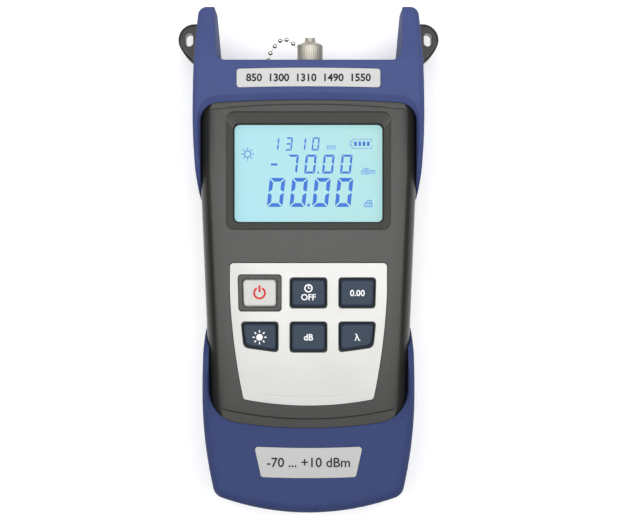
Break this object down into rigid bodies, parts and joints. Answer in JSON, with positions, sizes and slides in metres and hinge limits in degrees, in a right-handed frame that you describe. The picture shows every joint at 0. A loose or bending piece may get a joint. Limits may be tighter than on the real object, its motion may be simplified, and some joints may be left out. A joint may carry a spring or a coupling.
{
  "type": "optical power meter",
  "caption": "Handheld optical power meter with rubber end guards, lit display, key pad, capped optical port and strap lugs.",
  "frame": {"origin": "centre of the footprint, on the plane that the guards' backs rest on", "axes": "+Z out of the front face, +Y along the body towards the optical port, +X to the reader's right"},
  "size_m": [0.1008, 0.19, 0.0441],
  "materials": {
    "housing_plastic": "fine satin texture, warm dark grey",
    "guard_rubber": "smooth satin moulded rubber, slate blue",
    "nameplate_metal": "fine brushed, light silver",
    "plate_metal": "matt silver-white",
    "clear_pane": "clear polished",
    "black_foam": "matt",
    "display_glass": "lit cyan with blue digits",
    "light_guide": "translucent white",
    "silicone": "matt",
    "key_rubber": "satin slate blue",
    "power_key_rubber": "satin off-white",
    "board_laminate": "green solder mask",
    "chip_resin": "matt black",
    "steel": "zinc plated",
    "nickel": "bright nickel plating",
    "sleeve_ceramic": "polished white",
    "cell_can": "plain metal wrap",
    "contact_metal": "nickel-plated strip"
  },
  "bodies": {
    "root": {"front_housing": "housing_plastic", "rear_housing": "housing_plastic", "top_guard": "guard_rubber", "bottom_guard": "guard_rubber", "top_nameplate": "nameplate_metal", "bottom_nameplate": "nameplate_metal", "lcd_window": "clear_pane", "lcd_gasket": "black_foam", "lcd_panel": "display_glass", "lcd_backlight": "light_guide", "zebra_strips": "black_foam", "keypad_plate": "plate_metal", "keypad_mat": "silicone", "main_board": "board_laminate", "board_screws": "steel", "processor_chip": "chip_resin", "amplifier_chip": "chip_resin", "buzzer": "chip_resin", "optical_port": "nickel", "port_screws": "steel", "ferrule_sleeve": "sleeve_ceramic", "photodiode": "nickel", "tether_chain": "nickel", "chain_anchor": "nickel", "battery_cell_1": "cell_can", "battery_cell_2": "cell_can", "battery_cell_3": "cell_can", "battery_contacts": "contact_metal", "battery_springs": "contact_metal", "housing_screws": "steel"},
    "power_key": {"power_key": "power_key_rubber"},
    "auto_off_key": {"auto_off_key": "key_rubber"},
    "zero_key": {"zero_key": "key_rubber"},
    "light_key": {"light_key": "key_rubber"},
    "unit_key": {"unit_key": "key_rubber"},
    "wavelength_key": {"wavelength_key": "key_rubber"},
    "dust_cap": {"dust_cap": "nickel", "cap_rivet": "nickel"},
    "battery_cover": {"battery_cover": "housing_plastic"}
  },
  "joints": [
    {"name": "power_press", "type": "slide", "parent": "root", "child": "power_key", "axis": [0, 0, -1], "range_m": [0, 0.0009], "stiffness_N_per_m": 300, "springref_m": -0.0015},
    {"name": "auto_off_press", "type": "slide", "parent": "root", "child": "auto_off_key", "axis": [0, 0, -1], "range_m": [0, 0.0009], "stiffness_N_per_m": 300, "springref_m": -0.0015},
    {"name": "zero_press", "type": "slide", "parent": "root", "child": "zero_key", "axis": [0, 0, -1], "range_m": [0, 0.0009], "stiffness_N_per_m": 300, "springref_m": -0.0015},
    {"name": "light_press", "type": "slide", "parent": "root", "child": "light_key", "axis": [0, 0, -1], "range_m": [0, 0.0009], "stiffness_N_per_m": 300, "springref_m": -0.0015},
    {"name": "unit_press", "type": "slide", "parent": "root", "child": "unit_key", "axis": [0, 0, -1], "range_m": [0, 0.0009], "stiffness_N_per_m": 300, "springref_m": -0.0015},
    {"name": "wavelength_press", "type": "slide", "parent": "root", "child": "wavelength_key", "axis": [0, 0, -1], "range_m": [0, 0.0009], "stiffness_N_per_m": 300, "springref_m": -0.0015},
    {"name": "dust_cap_off", "type": "slide", "parent": "root", "child": "dust_cap", "axis": [0, 1, 0], "range_m": [0, 0.008]},
    {"name": "battery_cover_off", "type": "slide", "parent": "root", "child": "battery_cover", "axis": [0, 0, -1], "range_m": [0, 0.012]}
  ]
}
